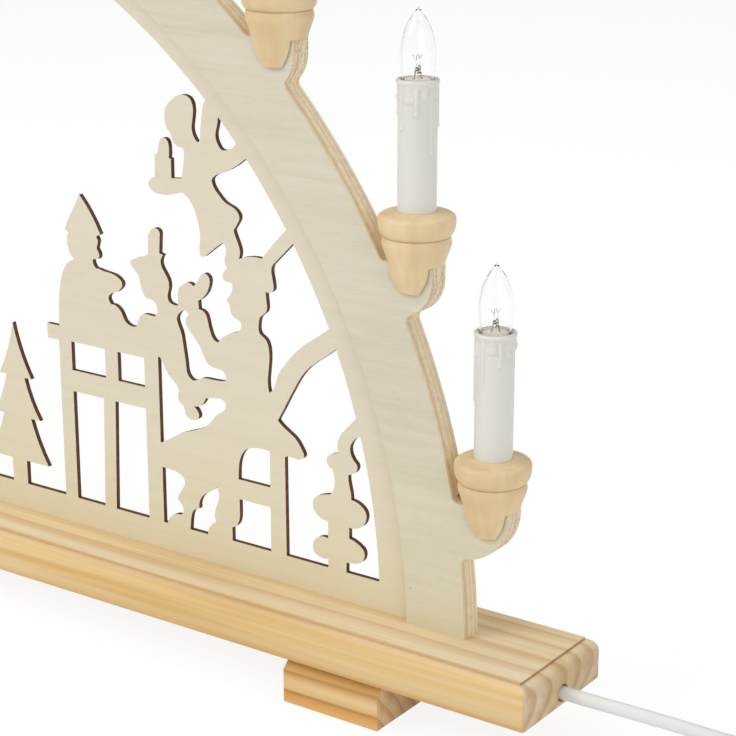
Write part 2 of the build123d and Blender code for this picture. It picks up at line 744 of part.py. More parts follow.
# Turned cup, slotted from below over its arm
ring_radius = cup_ring_diameter / 2
bead_radius = cup_bead_diameter / 2
waist_radius = cup_waist_diameter / 2
crest_radius = cup_crest_diameter / 2
cup_foot_radius = cup_foot_diameter / 2
seat_radius = sleeve_diameter / 2 + seat_gap
ring_height = cup_height - cup_waist_height
crest_point = (crest_radius, cup_height - cup_crest_drop)
cup_side_shares = ((0.675, 0.176), (0.76, 0.338), (0.81, 0.5), (0.868, 0.618), (0.952, 0.765), (1.0, 0.9))
cup_ring_shares = ((0.935, 0.14), (0.978, 0.32), (1.0, 0.64), (0.966, 0.82), (0.89, 0.893))
with BuildPart() as candle_cup:
    with BuildSketch(Plane.XZ):
        with BuildLine():
            foot_arc_start = cup_foot_radius - cup_foot_round * sin(radians(cup_foot_arc))
            Line((0, 0), (foot_arc_start, 0))
            foot_arc = JernArc((foot_arc_start, 0), (1, 0), cup_foot_round, cup_foot_arc)
            side_points = [
                (bead_radius * radius_share, cup_waist_height * height_share)
                for radius_share, height_share in cup_side_shares
            ]
            Spline(foot_arc @ 1, *side_points, tangents=[foot_arc % 1, (0, 1)])
            Line(side_points[-1], (waist_radius, cup_waist_height))
            ring_points = [
                (ring_radius * radius_share, cup_waist_height + ring_height * height_share)
                for radius_share, height_share in cup_ring_shares
            ]
            Spline((waist_radius, cup_waist_height), *ring_points, crest_point, tangents=[(1, 1), (-1, 0)])
            Line(crest_point, (seat_radius, cup_height))
            Polyline((seat_radius, cup_height), (seat_radius, sleeve_base_z), (0, sleeve_base_z), (0, 0))
        make_face()
    revolve(axis=Axis.Z)
    with BuildSketch(Plane.XY):
        Circle(wire_hole_diameter / 2)
    extrude(amount=cup_height, mode=Mode.SUBTRACT)
    with BuildSketch(Plane.XY):
        Rectangle(cup_ring_diameter + overrun, arch_thickness + 2 * cup_slot_gap)
    extrude(amount=cup_slot_height, mode=Mode.SUBTRACT)

# Candle sleeve with a rim and wax drips: turn, lower end, width, and how far each stands out
drip_waist_share = 0.85
sleeve_turn = 137.5
drip_shares = (
    (0.00, 0.875, 0.34, 0.11), (0.14, 0.905, 0.30, 0.12), (0.27, 0.860, 0.32, 0.10),
    (0.43, 0.900, 0.34, 0.12), (0.57, 0.870, 0.30, 0.11), (0.72, 0.905, 0.34, 0.12),
    (0.86, 0.885, 0.30, 0.10), (0.07, 0.790, 0.17, 0.11), (0.20, 0.540, 0.14, 0.08),
    (0.35, 0.705, 0.17, 0.10), (0.50, 0.800, 0.15, 0.09), (0.64, 0.600, 0.16, 0.09),
    (0.79, 0.780, 0.18, 0.10), (0.93, 0.690, 0.15, 0.08),
)
sleeve_radius = sleeve_diameter / 2
rim_radius = sleeve_rim_diameter / 2
with BuildPart() as candle_sleeve:
    with BuildSketch(Plane.XZ):
        with BuildLine():
            rim_round = rim_radius - sleeve_radius
            rim_z = sleeve_top_z - sleeve_rim_height
            Polyline((0, sleeve_base_z), (sleeve_radius, sleeve_base_z), (sleeve_radius, rim_z))
            Spline(
                (sleeve_radius, rim_z),
                (rim_radius, sleeve_top_z - rim_round),
                tangents=[(0, 1), (0, 1)],
            )
            JernArc((rim_radius, sleeve_top_z - rim_round), (0, 1), rim_round, 90)
            Polyline((sleeve_radius, sleeve_top_z), (0, sleeve_top_z), (0, sleeve_base_z))
        make_face()
    revolve(axis=Axis.Z)
    for turn_share, bottom_share, width_share, proud_share in drip_shares:
        drip_radius = sleeve_radius * width_share
        drip_reach = sleeve_radius * (1 + proud_share) - drip_radius
        drip_angle = 2 * pi * turn_share
        axis_x = drip_reach * cos(drip_angle)
        axis_y = drip_reach * sin(drip_angle)
        drip_bottom = sleeve_base_z + sleeve_length * bottom_share
        with BuildSketch(Plane.XY.offset(drip_bottom)):
            with Locations((axis_x, axis_y)):
                Circle(drip_radius * drip_waist_share)
        extrude(amount=sleeve_top_z - rim_round - drip_bottom)
        with Locations((axis_x, axis_y, drip_bottom)):
            Sphere(drip_radius)
    with BuildSketch(Plane.XY.offset(sleeve_base_z)):
        Circle(sleeve_bore / 2)
    extrude(amount=sleeve_length, mode=Mode.SUBTRACT)
    with BuildSketch(Plane.XY.offset(sleeve_top_z)):
        Circle(sleeve_mouth_diameter / 2)
    extrude(amount=-sleeve_mouth_depth, mode=Mode.SUBTRACT)

# Screw socket inside the sleeve: a plain bore stands in for its thread
with BuildPart() as lamp_socket:
    with BuildSketch(Plane.XY.offset(socket_base_z)):
        Circle(socket_diameter / 2)
    extrude(amount=socket_length)
    with BuildSketch(Plane.XY.offset(socket_top_z)):
        Circle(cap_diameter / 2 + thread_gap)
    extrude(amount=-cap_length - cap_tip_length - thread_gap, mode=Mode.SUBTRACT)

# Bulb cap with its tip
with BuildPart() as bulb_cap:
    with BuildSketch(Plane.XY.offset(cap_base_z)):
        Circle(cap_diameter / 2)
    extrude(amount=cap_length)
    with BuildSketch(Plane.XY.offset(cap_base_z)):
        Circle(cap_tip_diameter / 2)
    extrude(amount=-cap_tip_length)

# Bulb glass: radius and height above the sleeve's rim, the neck first and the point last
glass_shares = (
    (0.88, -0.035), (0.93, 0.10), (1.0, 0.32), (0.965, 0.46), (0.85, 0.61), (0.71, 0.72), (0.49, 0.825),
    (0.24, 0.92),
)
neck_radius = bulb_neck_diameter / 2
bulb_radius = bulb_diameter / 2
outer_curve = [(neck_radius, cap_top_z)]
inner_curve = [(neck_radius - bulb_wall, cap_top_z)]
for radius_share, height_share in glass_shares:
    curve_z = sleeve_top_z + bulb_height * height_share
    outer_curve.append((bulb_radius * radius_share, curve_z))
    inner_curve.append((bulb_radius * radius_share - bulb_wall, curve_z))
outer_tip = (0, sleeve_top_z + bulb_height)
inner_tip = (0, sleeve_top_z + bulb_height - 3 * bulb_wall)
with BuildPart() as bulb_glass:
    with BuildSketch(Plane.XZ):
        with BuildLine():
            Spline(*outer_curve, outer_tip)
            Line(outer_tip, inner_tip)
            Spline(*inner_curve, inner_tip)
            Line(outer_curve[0], inner_curve[0])
        make_face()
    revolve(axis=Axis.Z)

for number, place in enumerate(candle_places, start=1):
    save(at_candle(candle_cup.part, place), f"candle_cup_{number}")
    turned_sleeve = candle_sleeve.part.rotate(Axis.Z, sleeve_turn * number)
    save(at_candle(turned_sleeve, place), f"candle_sleeve_{number}")
    save(at_candle(bulb_cap.part, place), f"bulb_cap_{number}")
    save(at_candle(bulb_glass.part, place), f"bulb_glass_{number}")
lamp_sockets = Compound(children=[at_candle(lamp_socket.part, place) for place in candle_places])
save(lamp_sockets, "lamp_sockets")

# Wire from the pocket through the arch's groove to the farthest candle
feed_radius = groove_inner_radius + feed_wire_diameter / 2 + seat_gap
with BuildPart() as feed_wire:
    with BuildLine() as feed_path:
        Line(
            (feed_radius, wire_y, pocket_roof_z - feed_wire_diameter),
            (feed_radius, wire_y, arch_centre_z + seat_gap),
        )
        with BuildLine(Plane((0, wire_y, arch_centre_z + seat_gap), x_dir=(1, 0, 0), z_dir=(0, -1, 0))):
            CenterArc((0, 0), feed_radius, 0, candle_angles[-1])
    with BuildSketch(Plane.XY.offset(pocket_roof_z - feed_wire_diameter)):
        with Locations((feed_radius, wire_y)):
            Circle(feed_wire_diameter / 2)
    sweep(path=feed_path.wire())
save(feed_wire.part, "feed_wire")

# Pair of wires from the groove up to each socket
pair_radius = groove_outer_radius - pair_diameter / 2
pairs = []
for number, place in enumerate(candle_places):
    angle = radians(candle_angles[number])
    start = (pair_radius * cos(angle), wire_y, arch_centre_z + pair_radius * sin(angle))
    bend = (place[0], wire_y, arm_top(place) - groove_width)
    top = (place[0], wire_y, place[1] + socket_base_z)
    with BuildPart() as lamp_wire:
        with BuildLine() as pair_path:
            FilletPolyline(start, bend, top, radius=pair_diameter)
        with BuildSketch(Plane(start, z_dir=(bend[0] - start[0], 0, bend[2] - start[2]))):
            Circle(pair_diameter / 2)
        sweep(path=pair_path.wire())
    pairs.append(lamp_wire.part)
save(Compound(children=pairs), "lamp_wires")


def route_radii(route):
    """The largest arc at each inner point: a share of the shorter run over the tangent of half the turn."""
    radii = []
    for before, here, after in zip(route, route[1:], route[2:]):
        first = Vector(*here) - Vector(*before)
        second = Vector(*after) - Vector(*here)
        shorter = min(first.length, second.length)
        half_turn = radians(first.get_angle(second) / 2)
        radii.append(corner_share * shorter / (sin(half_turn) / cos(half_turn)))
    return radii


def cord_tube(route, name):
    """A tube of the cord along a route of straight runs and tangent arcs."""
    radii = route_radii(route)
    with BuildPart() as made:
        with BuildLine() as path:
            FilletPolyline(*route, radius=radii)
        with BuildSketch(Plane(route[0], z_dir=Vector(*route[1]) - Vector(*route[0]))):
            Circle(cord_diameter / 2)
        sweep(path=path.wire())
    length = path.wire().length
    section = pi * cord_diameter**2 / 4
    print(name, "radii", [round(radius) for radius in radii], "length", round(length))
    print(name, "volume over section times length", round(made.part.volume / (section * length), 4))
    return made.part


# Cord from the pocket, out of the bore and down to the table
strand_z = cord_diameter / 2 + tie_gap + tie_thickness + seat_gap
upper_strand_z = strand_z + coil_layer_rise
cord_route = [
    (board_end_x + beyond, aside, height)
    for beyond, aside, height in (
        (-28, 0, cord_z), (4, 0, cord_z), (36, 6.5, 20.5), (64, 19, 13), (89, 34, 7),
        (115, 47, strand_z), (140, 47, strand_z),
    )
]
mains_cable = cord_tube(cord_route, "mains_cable")
save(mains_cable, "mains_cable")

# Coil: spirals in on the table, climbs while it turns back, and spirals out on top
coil_start = Vector(*cord_route[-1])
coil_centre = coil_start + Vector(cord_diameter, -coil_outer_radius, 0)
coil_turns = 2 * coil_turns_each_way + 0.5
inner_radius = coil_outer_radius - coil_pitch * coil_turns_each_way


def coil_at(turn):
    """Point and direction on the coil after so many turns."""
    climb = (turn - coil_turns_each_way) / 0.5
    if climb <= 0:
        radius = coil_outer_radius - coil_pitch * turn
        radius_rate = -coil_pitch
        rise = 0
        rise_rate = 0
    elif climb < 1:
        radius = inner_radius - coil_pitch * 0.5 * (climb - climb**2)
        radius_rate = -coil_pitch * (1 - 2 * climb)
        rise = coil_layer_rise * (3 * climb**2 - 2 * climb**3)
        rise_rate = coil_layer_rise * (6 * climb - 6 * climb**2) / 0.5
    else:
        radius = inner_radius + coil_pitch * (turn - coil_turns_each_way - 0.5)
        radius_rate = coil_pitch
        rise = coil_layer_rise
        rise_rate = 0
    angle = pi / 2 - 2 * pi * turn
    outward = Vector(cos(angle), sin(angle), 0)
    along = Vector(sin(angle), -cos(angle), 0)
    point = coil_centre + outward * radius + Vector(0, 0, rise)
    direction = outward * radius_rate + along * (2 * pi * radius) + Vector(0, 0, rise_rate)
    return point, direction.normalized()


def biarc(start, start_way, end, end_way):
    """Two arcs that join smoothly between two points with given directions."""
    chord = end - start
    ways = start_way + end_way
    spread = 2 * (1 - start_way.dot(end_way))
    reach = (-chord.dot(ways) + sqrt(chord.dot(ways) ** 2 + spread * chord.dot(chord))) / spread
    from_start = start + start_way * reach
    from_end = end - end_way * reach
    joint = (from_start + from_end) * 0.5
    TangentArc(start, joint, tangent=start_way)
    TangentArc(joint, end, tangent=(from_end - from_start).normalized())


coil_steps = round(4 * coil_turns)
along_x = Vector(1, 0, 0)
coil_stations = [coil_at(coil_turns * step / coil_steps) for step in range(coil_steps + 1)]
coil_stations[0] = (coil_stations[0][0], along_x)
coil_stations[-1] = (coil_stations[-1][0], along_x)
coil_end = coil_stations[-1][0] + along_x * cord_diameter
with BuildPart() as cable_coil:
    with BuildLine() as coil_path:
        Line(coil_start, coil_stations[0][0])
        for (point, way), (next_point, next_way) in zip(coil_stations, coil_stations[1:]):
            biarc(point, way, next_point, next_way)
        Line(coil_stations[-1][0], coil_end)
    with BuildSketch(Plane(coil_start, z_dir=along_x)):
        Circle(cord_diameter / 2)
    sweep(path=coil_path.wire())
save(cable_coil.part, "cable_coil")

coil_samples = [coil_at(coil_turns * step / 1000)[0] for step in range(1001)]
half_turn_steps = round(500 / coil_turns)
least_gap = min(
    (coil_samples[first] - coil_samples[second]).length - cord_diameter
    for first in range(0, 1001, 2)
    for second in range(first + half_turn_steps, 1001, 2)
)
coil_length = coil_path.wire().length
coil_volume_share = cable_coil.part.volume / (pi * cord_diameter**2 / 4 * coil_length)
print("coil least gap", round(least_gap, 2), "length", round(coil_length))
print("coil volume over section times length", round(coil_volume_share, 4))

# Tie round the coil's strands, on the side away from the arch
tie_bow = tie_width**2 / (8 * inner_radius)
tie_inner_x = coil_centre.X + inner_radius - cord_diameter / 2 - tie_gap - tie_bow
tie_outer_x = coil_centre.X + coil_outer_radius + cord_diameter / 2 - coil_pitch / 4 + tie_gap
tie_bottom_z = strand_z - cord_diameter / 2 - tie_gap
tie_top_z = upper_strand_z + cord_diameter / 2 + tie_gap
with BuildPart() as coil_tie:
    with BuildSketch(Plane.XZ.offset(-coil_centre.Y - tie_width / 2)):
        with Locations(((tie_inner_x + tie_outer_x) / 2, (tie_bottom_z + tie_top_z) / 2)):
            inside_width = tie_outer_x - tie_inner_x
            inside_height = tie_top_z - tie_bottom_z
            RectangleRounded(
                inside_width + 2 * tie_thickness, inside_height + 2 * tie_thickness, 3 * tie_thickness
            )
            RectangleRounded(inside_width, inside_height, 2 * tie_thickness, mode=Mode.SUBTRACT)
    extrude(amount=tie_width)
save(coil_tie.part, "coil_tie")

# Lead from the coil to the plug
plug_z = plug_thickness / 2 + seat_gap
lead_start = (coil_end.X, coil_end.Y, coil_end.Z)
lead_route = [
    lead_start,
    *(
        (coil_end.X + beyond, coil_end.Y + aside, height)
        for beyond, aside, height in (
            (20, 0, upper_strand_z), (40, -5, 6.9), (60, -13, 5.2), (80, -17, plug_z), (100, -17, plug_z),
        )
    ),
]
plug_lead = cord_tube(lead_route, "plug_lead")
save(plug_lead, "plug_lead")

# Plug: a flat moulded body that lies on the table, with a tapered strain relief
relief_start = Vector(*lead_route[-1])
plug_tail_x = relief_start.X + relief_length
plug_front_x = plug_tail_x + plug_length
plug_shoulder_x = plug_front_x - plug_face_length
tail_half_width = relief_front_diameter * 0.7
plug_edge_radius = plug_thickness * 0.2
with BuildPart() as plug_body:
    with BuildSketch(Plane.XY.offset(seat_gap)):
        with BuildLine() as plug_side:
            Spline(
                (plug_tail_x, relief_start.Y + tail_half_width),
                (plug_shoulder_x, relief_start.Y + plug_width / 2),
                tangents=[(1, 0), (1, 0)],
            )
            Line(
                (plug_shoulder_x, relief_start.Y + plug_width / 2),
                (plug_front_x, relief_start.Y + plug_width / 2),
            )
            Line(
                (plug_front_x, relief_start.Y + plug_width / 2),
                (plug_front_x, relief_start.Y - plug_width / 2),
            )
            Line(
                (plug_front_x, relief_start.Y - plug_width / 2),
                (plug_shoulder_x, relief_start.Y - plug_width / 2),
            )
            Spline(
                (plug_shoulder_x, relief_start.Y - plug_width / 2),
                (plug_tail_x, relief_start.Y - tail_half_width),
                tangents=[(-1, 0), (-1, 0)],
            )
            Line(
                (plug_tail_x, relief_start.Y - tail_half_width),
                (plug_tail_x, relief_start.Y + tail_half_width),
            )
        make_face()
    extrude(amount=plug_thickness)
    flat_edges = plug_body.faces().sort_by(Axis.Z)[-1].edges() + plug_body.faces().sort_by(Axis.Z)[0].edges()
    fillet(flat_edges, radius=plug_edge_radius)
    with BuildSketch(Plane(relief_start, z_dir=along_x)):
        Circle(relief_rear_diameter / 2)
    with BuildSketch(Plane(relief_start + along_x * (relief_length + plug_edge_radius), z_dir=along_x)):
        Circle(relief_front_diameter / 2)
    loft()
save(plug_body.part, "plug_body")

with BuildPart() as plug_pin:
    with BuildSketch(Plane((plug_front_x, relief_start.Y, plug_z), z_dir=along_x)):
        Circle(pin_diameter / 2)
    extrude(amount=pin_length)
    fillet(plug_pin.faces().sort_by(Axis.X)[-1].edges(), radius=pin_diameter / 4)
pin_places = [(0, side * pin_spacing / 2, 0) for side in (-1, 1)]
save(Compound(children=placed(plug_pin.part, pin_places)), "plug_pins")
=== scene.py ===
from math import cos, pi, radians, sin

import bmesh
import bpy
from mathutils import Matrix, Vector


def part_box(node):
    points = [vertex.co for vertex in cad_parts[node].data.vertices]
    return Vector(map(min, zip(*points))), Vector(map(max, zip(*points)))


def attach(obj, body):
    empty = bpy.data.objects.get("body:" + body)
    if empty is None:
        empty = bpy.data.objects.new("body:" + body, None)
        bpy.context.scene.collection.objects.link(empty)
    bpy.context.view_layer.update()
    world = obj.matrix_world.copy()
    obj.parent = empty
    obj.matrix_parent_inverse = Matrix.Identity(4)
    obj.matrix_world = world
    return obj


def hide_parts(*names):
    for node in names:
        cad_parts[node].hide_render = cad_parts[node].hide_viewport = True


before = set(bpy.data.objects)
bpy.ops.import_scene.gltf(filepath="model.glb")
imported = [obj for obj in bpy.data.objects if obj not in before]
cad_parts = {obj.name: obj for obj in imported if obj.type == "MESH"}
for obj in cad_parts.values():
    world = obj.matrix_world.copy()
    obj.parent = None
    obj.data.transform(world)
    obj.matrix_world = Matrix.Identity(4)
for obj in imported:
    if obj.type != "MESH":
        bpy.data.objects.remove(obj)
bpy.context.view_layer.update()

MM = 0.001
LAMPS = range(1, 11)
ARCH = "arch"

# The cut of the board's stepped top: its foot, its top, and how far from the middle its ends lie, in metres
STEP_FOOT = 0.03456
STEP_TOP = 0.03542
STEP_END = 0.3262
# The bands up a board's long side are placed by shares of this height in metres
BAND_HEIGHT = 0.040
# Each arch plate's front face along Y and its plies' thickness, in metres
FRONT_PLIES = (-4.5 * MM, 3.4 * MM / 3)
REAR_PLIES = (-1.1 * MM, 5.6 * MM / 5)
# The dark line at the joint between the plates: its place along Y and half its width, in metres
LAYER_JOINT = -0.00125
JOINT_HALF_WIDTH = 0.00016
# Height of a candle cup's groove, as a share of the cup's height
CUP_GROOVE_SHARE = 0.701

# Sockets of the colour mix node
MIX_INPUTS = (0, 6, 7)
MIX_OUTPUT = 2


def grey(value):
    """A grey colour."""
    return (value, value, value, 1)


def scaled(colour, share):
    """The colour times a share."""
    return tuple(part * share for part in colour[:3]) + (1,)


class Graph:
    """The shader nodes of one material or world."""

    def __init__(self, owner):
        owner.use_nodes = True
        self.owner = owner
        self.tree = owner.node_tree
        self.tree.nodes.clear()

    def feed(self, socket, value):
        """Links a socket to a node's output, or sets it to a number or colour."""
        if hasattr(value, "links"):
            self.tree.links.new(value, socket)
        else:
            socket.default_value = value

    def node(self, kind, **values):
        """A node with values for its named sockets. An underscore in a name stands for a blank."""
        made = self.tree.nodes.new("ShaderNode" + kind)
        for key, value in values.items():
            self.feed(made.inputs[key.replace("_", " ")], value)
        return made

    def maths(self, operation, *values):
        """The result of a maths node on outputs or numbers."""
        made = self.node("Math")
        made.operation = operation
        for socket, value in zip(made.inputs, values):
            self.feed(socket, value)
        return made.outputs[0]

    def plus(self, first, second):
        """The sum."""
        return self.maths("ADD", first, second)

    def times(self, first, second):
        """The product."""
        return self.maths("MULTIPLY", first, second)

    def off(self, value, middle):
        """How far a value lies from a middle one."""
        return self.maths("ABSOLUTE", self.maths("SUBTRACT", value, middle))

    def blend(self, share, first, second, mode="MIX"):
        """A colour between two, each an output or a colour, by a share from 0 to 1."""
        made = self.node("Mix")
        made.data_type = "RGBA"
        made.blend_type = mode
        for number, value in zip(MIX_INPUTS, (share, first, second)):
            self.feed(made.inputs[number], value)
        return made.outputs[MIX_OUTPUT]

    def tint(self, share, colour, cast):
        """The colour times a cast, by a share from 0 to 1."""
        return self.blend(share, colour, cast, "MULTIPLY")

    def mark(self, colour, source, share, stops):
        """The colour times a ramp over the source, by a share from 0 to 1."""
        return self.tint(share, colour, self.ramp(source, stops))

    def ramp(self, source, stops, smooth=True):
        """A colour ramp over the source. Its stops are pairs of place and colour."""
        made = self.node("ValToRGB")
        made.color_ramp.interpolation = "EASE" if smooth else "LINEAR"
        elements = made.color_ramp.elements
        while len(elements) < len(stops):
            elements.new(0.5)
        for element, (place, colour) in zip(elements, stops):
            element.position = place
            element.color = colour
        self.feed(made.inputs[0], source)
        return made.outputs[0]

    def place(self, scale, shift=(0, 0, 0)):
        """The point in the part's own frame, scaled and shifted along each axis."""
        point = self.node("TexCoord").outputs["Object"]
        return self.node("Mapping", Vector=point, Scale=scale, Location=shift).outputs[0]

    def noise(self, scale, detail, rough=0.5, distortion=0.0, shift=(0, 0, 0)):
        """Noise over the part's own frame."""
        made = self.node("TexNoise", Vector=self.place(scale, shift), Scale=1.0, Detail=detail)
        self.feed(made.inputs["Roughness"], rough)
        self.feed(made.inputs["Distortion"], distortion)
        return made.outputs[0]

    def split(self, vector):
        """The X, Y and Z parts of a vector."""
        return self.node("SeparateXYZ", Vector=vector).outputs

    def facing(self):
        """The X, Y and Z parts of the surface's direction."""
        return self.split(self.node("NewGeometry").outputs["True Normal"])

    def facing_share(self, part):
        """How far the surface faces along one axis, either way, from 0 to 1."""
        return self.maths("POWER", self.maths("ABSOLUTE", part), 2.0)

    def surface(self, colour, rough, bump, strength, distance, **values):
        """Ends a material with its shader, and returns the material."""
        lift = self.node("Bump", Height=bump, Strength=strength, Distance=distance).outputs[0]
        shader = self.node("BsdfPrincipled", Base_Color=colour, Roughness=rough, Normal=lift, **values)
        self.node("OutputMaterial", Surface=shader.outputs[0])
        return self.owner

    def mix_surfaces(self, share, first, second, output):
        """Ends a material or world with a mix of two shaders."""
        mixed = self.node("MixShader")
        for socket, value in zip(mixed.inputs, (share, first.outputs[0], second.outputs[0])):
            self.feed(socket, value)
        self.node(output, Surface=mixed.outputs[0])
        return self.owner


def new_graph(name):
    """The graph of a new material."""
    return Graph(bpy.data.materials.new(name))


# Materials

RING_STOPS = [
    (0.0, grey(0.10)), (0.30, grey(0.0)), (0.50, grey(0.22)), (0.72, grey(0.68)), (0.88, grey(1.0)),
    (0.94, grey(0.70)), (1.0, grey(0.10)),
]
# Markings: how strongly each shows, and its ramp
FIBRES = (0.8, [(0.25, grey(0.93)), (0.75, grey(1.03))])
STREAKS = (0.7, [(0.34, (0.90, 0.81, 0.67, 1)), (0.50, grey(1.0))])
TONES = (0.9, [(0.38, (1.0, 0.99, 0.97, 1)), (0.66, (0.95, 0.86, 0.70, 1))])
END_GRAIN = (0.8, [(0.3, (0.88, 0.86, 0.83, 1)), (0.7, grey(1.0))])
RISER_LONG = (0.70, 0.47, 0.235, 1)
RISER_END = (0.40, 0.245, 0.13, 1)
RISER_SHARE = 0.8
# How far two noises move the rings, in metres
RING_WANDER = 0.010
RING_DRIFT = 0.005
# How far the first of them moves the bands, as a share of BAND_HEIGHT
BAND_WANDER = 0.10
# How strongly late wood shows, and how much of it ends show on top of that
LATE_WOOD_SHARE = 0.62
END_LATE_WOOD_SHARE = 0.35
# A long side's looks have their full strength where its facing share is one over this or more
LONG_SIDE_GAIN = 2.2


def pine(name, slant, bow, spacing, seed, tones, bands):
    """Sawn pine: growth rings as slanted and bowed layers along X, so long grain and end grain agree.

    The tones are early wood, late wood, and the casts of long sides and of ends.
    The bands are casts up a long side; on the feet, the darker ones at the top are painted shadow under the
    board.
    """
    early, late, front_cast, end_cast = tones
    bow_height, bow_rate = bow
    graph = new_graph(name)
    along, across, up = graph.split(graph.node("TexCoord").outputs["Object"])
    wander = graph.noise((2.6, 22, 22), detail=2.0, shift=(seed, seed, seed))
    drift = graph.noise((6.0, 14, 14), detail=1.0, rough=0.4, shift=(-seed, seed, 0))
    layer = graph.plus(graph.times(across, cos(slant)), graph.times(up, sin(slant)))
    above = graph.maths("SUBTRACT", up, bow_height)
    layer = graph.plus(layer, graph.times(graph.times(above, above), bow_rate))
    layer = graph.plus(layer, graph.times(wander, RING_WANDER))
    layer = graph.plus(layer, graph.times(drift, RING_DRIFT))
    ring = graph.maths("FRACT", graph.maths("DIVIDE", layer, spacing))
    band = graph.ramp(ring, RING_STOPS, smooth=False)
    fibre = graph.noise((9, 800, 800), detail=3.0, rough=0.6, shift=(0, seed, 0))
    streak = graph.noise((5, 170, 170), detail=2.0, shift=(seed, 0, 0))
    tone = graph.noise((4, 34, 34), detail=2.0, shift=(0, 0, seed))
    colour = graph.blend(graph.times(band, LATE_WOOD_SHARE), early, late)
    colour = graph.mark(colour, fibre, *FIBRES)
    colour = graph.mark(colour, streak, *STREAKS)
    colour = graph.mark(colour, tone, *TONES)
    # Long sides get their own cast and bands, which wander a little
    facing_along, facing_across, _ = graph.facing()
    height_share = graph.plus(graph.maths("DIVIDE", up, BAND_HEIGHT), graph.times(wander, BAND_WANDER))
    height_share = graph.maths("SUBTRACT", height_share, BAND_WANDER / 2)
    front = graph.mark(graph.tint(1.0, colour, front_cast), height_share, 1.0, bands)
    long_side = graph.times(graph.facing_share(facing_across), LONG_SIDE_GAIN)
    colour = graph.blend(graph.maths("MINIMUM", long_side, 1.0), colour, front)
    # Sawn ends show more late wood, and are greyer
    sawn = graph.blend(graph.times(band, END_LATE_WOOD_SHARE), colour, late)
    sawn = graph.tint(1.0, sawn, end_cast)
    sawn = graph.mark(sawn, graph.noise((60, 160, 160), detail=3.0, rough=0.6), *END_GRAIN)
    colour = graph.blend(graph.facing_share(facing_along), colour, sawn)
    # The cut of the stepped top is darker, most at the ends
    above_foot = graph.maths("GREATER_THAN", up, STEP_FOOT)
    riser = graph.times(above_foot, graph.maths("LESS_THAN", up, STEP_TOP))
    at_end = graph.maths("GREATER_THAN", graph.maths("ABSOLUTE", along), STEP_END)
    cut_tone = graph.blend(at_end, RISER_LONG, RISER_END)
    colour = graph.blend(graph.times(riser, RISER_SHARE), colour, cut_tone)
    height = graph.plus(graph.times(fibre, 0.7), graph.times(band, 0.5))
    rough = graph.plus(graph.times(fibre, 0.12), 0.46)
    return graph.surface(colour, rough, height, strength=0.22, distance=0.0001, Specular_IOR_Level=0.30)


VENEER_STOPS = [(0.34, grey(0)), (0.72, grey(0.8))]
PORE_STOPS = [(0.30, (0.90, 0.865, 0.80, 1)), (0.42, grey(1.0))]
CLOUD_STOPS = [(0.35, (1.0, 0.995, 0.985, 1)), (0.68, (0.965, 0.95, 0.92, 1))]
PORE_SHARE = 0.6
CLOUD_SHARE = 0.9
# A yellower cast low down: a ramp over the height times this rate per metre
LOW_STOPS = [(0.15, (1.0, 0.995, 0.895, 1)), (0.62, grey(1.0))]
LOW_RATE = 5.0
# Flecks: their colour and size, how few of them show, and how strongly
FLECK_COLOUR = (0.36, 0.22, 0.11, 1)
FLECK_SIZE = 0.022
FLECK_CHOICE = 0.58
FLECK_SHARE = 0.5
# A surface counts as cut where it faces the front or back by less than this share
CUT_FACING = 0.36
PANEL_CALM = 0.35


def plywood(name, face, dark, cut_edge, calm=1.0):
    """Plywood: fine veneer grain on the faces, and what cut_edge draws where it is cut.

    A calm below 1 weakens the markings of the faces.
    """
    graph = new_graph(name)
    _, across, up = graph.split(graph.node("TexCoord").outputs["Object"])
    veneer = graph.noise((13, 13, 240), detail=5.0, rough=0.62, distortion=0.35)
    pores = graph.noise((190, 190, 2400), detail=2.0)
    clouds = graph.noise((8, 8, 20), detail=3.0, rough=0.55)
    colour = graph.blend(graph.ramp(veneer, VENEER_STOPS), face, dark)
    colour = graph.mark(colour, pores, PORE_SHARE * calm, PORE_STOPS)
    colour = graph.mark(colour, clouds, CLOUD_SHARE * calm, CLOUD_STOPS)
    colour = graph.mark(colour, graph.times(up, LOW_RATE), 1.0, LOW_STOPS)
    # A few small brown flecks, as in rotary cut veneer
    flecks = graph.node("TexVoronoi", Vector=graph.place((26, 26, 44)), Scale=1.0).outputs["Distance"]
    chosen = graph.maths("GREATER_THAN", graph.noise((11, 11, 11), detail=3.0), FLECK_CHOICE)
    fleck = graph.times(graph.maths("LESS_THAN", flecks, FLECK_SIZE), chosen)
    colour = graph.blend(graph.times(fleck, FLECK_SHARE * calm), colour, FLECK_COLOUR)
    _, facing_across, facing_up = graph.facing()
    cut = graph.maths("LESS_THAN", graph.facing_share(facing_across), CUT_FACING)
    fibre = graph.noise((420, 420, 420), detail=3.0, rough=0.6)
    colour = graph.blend(cut, colour, cut_edge(graph, fibre, across, facing_up))
    height = graph.plus(veneer, graph.times(pores, 0.4))
    return graph.surface(colour, 0.60, height, strength=0.14, distance=0.0001, Specular_IOR_Level=0.22)


BURNT = (0.105, 0.045, 0.020, 1)
BURNT_STOPS = [(0.30, BURNT), (0.75, scaled(BURNT, 1.7))]


def burnt_edge(graph, fibre, *_):
    """A cut that is burnt brown."""
    return graph.ramp(fibre, BURNT_STOPS)


ROUGH_CUT = (0.8, [(0.3, grey(0.88)), (0.7, grey(1.04))])
UNDER_STOPS = [(0.012, grey(1)), (0.024, grey(0))]
SPECK_PLACES = (0.36, 0.56)
# The glue line's width as a share of a ply's thickness, and how strongly it shows
GLUE_LINE_WIDTH = 0.10
GLUE_SHARE = 0.45


